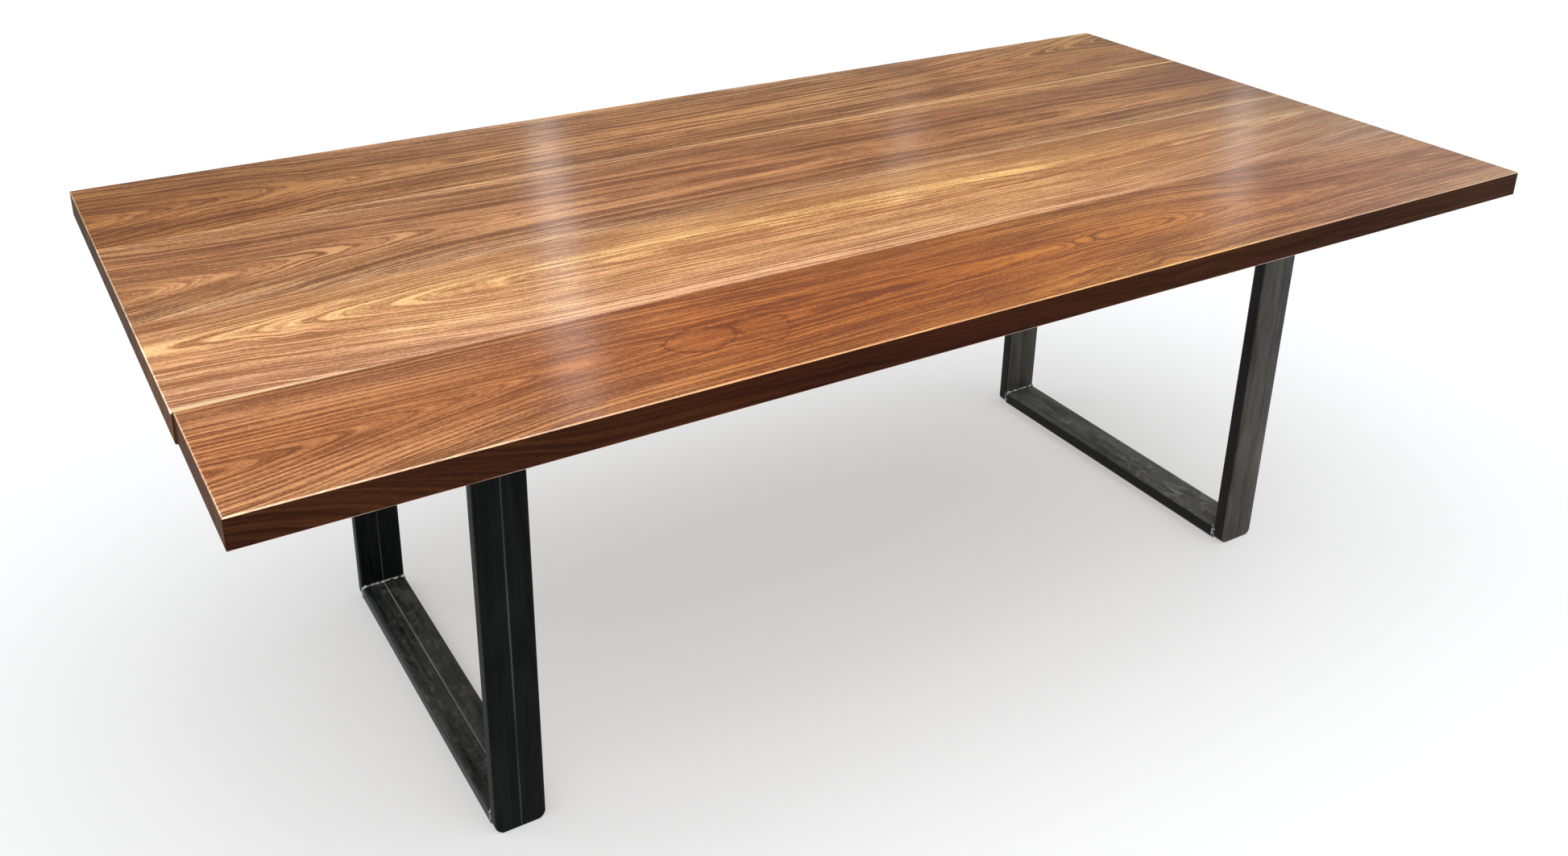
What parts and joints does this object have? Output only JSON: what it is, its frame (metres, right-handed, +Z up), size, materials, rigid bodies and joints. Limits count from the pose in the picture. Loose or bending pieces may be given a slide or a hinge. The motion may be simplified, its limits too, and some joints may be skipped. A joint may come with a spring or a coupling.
{
  "type": "butcher block table",
  "caption": "Long dining table or desk: glued solid walnut top on welded U-shaped frames of dark raw steel tube that rest flat on the floor.",
  "frame": {"origin": "on the floor, under the centre of the top", "axes": "+X along the table's length, with the left frame at -X; -Y towards the front edge; +Z up"},
  "size_m": [2.134, 1.067, 0.752],
  "materials": {
    "walnut_front": "clear satin coat over red-brown heartwood",
    "walnut_mid_front": "clear satin coat over golden brown wood with pale sapwood",
    "walnut_mid_back": "clear satin coat over pink-brown wood",
    "walnut_back": "clear satin coat over brown figured wood",
    "mill_scale_tube": "hot-rolled mill scale under clear coat, satin",
    "ground_cap": "blackened and ground smooth",
    "mill_scale_bar": "hot-rolled mill scale, matt",
    "weld_bead": "bare rippled weld metal under clear coat",
    "zinc_bolt": "bright zinc plate",
    "brass_insert": "turned brass"
  },
  "bodies": {
    "root": {"board_front": "walnut_front", "board_mid_front": "walnut_mid_front", "board_mid_back": "walnut_mid_back", "board_back": "walnut_back", "left_leg_front": "mill_scale_tube", "left_leg_rear": "mill_scale_tube", "left_floor_rail": "mill_scale_tube", "left_leg_cap_front": "ground_cap", "left_leg_cap_rear": "ground_cap", "left_top_bar": "mill_scale_bar", "left_rail_weld_front": "weld_bead", "left_rail_weld_rear": "weld_bead", "left_bar_weld_front": "weld_bead", "left_bar_weld_rear": "weld_bead", "left_bolt_1": "zinc_bolt", "left_insert_1": "brass_insert", "left_bolt_2": "zinc_bolt", "left_insert_2": "brass_insert", "left_bolt_3": "zinc_bolt", "left_insert_3": "brass_insert", "left_bolt_4": "zinc_bolt", "left_insert_4": "brass_insert", "left_bolt_5": "zinc_bolt", "left_insert_5": "brass_insert", "left_bolt_6": "zinc_bolt", "left_insert_6": "brass_insert", "right_leg_front": "mill_scale_tube", "right_leg_rear": "mill_scale_tube", "right_floor_rail": "mill_scale_tube", "right_leg_cap_front": "ground_cap", "right_leg_cap_rear": "ground_cap", "right_top_bar": "mill_scale_bar", "right_rail_weld_front": "weld_bead", "right_rail_weld_rear": "weld_bead", "right_bar_weld_front": "weld_bead", "right_bar_weld_rear": "weld_bead", "right_bolt_1": "zinc_bolt", "right_insert_1": "brass_insert", "right_bolt_2": "zinc_bolt", "right_insert_2": "brass_insert", "right_bolt_3": "zinc_bolt", "right_insert_3": "brass_insert", "right_bolt_4": "zinc_bolt", "right_insert_4": "brass_insert", "right_bolt_5": "zinc_bolt", "right_insert_5": "brass_insert", "right_bolt_6": "zinc_bolt", "right_insert_6": "brass_insert"}
  },
  "joints": []
}
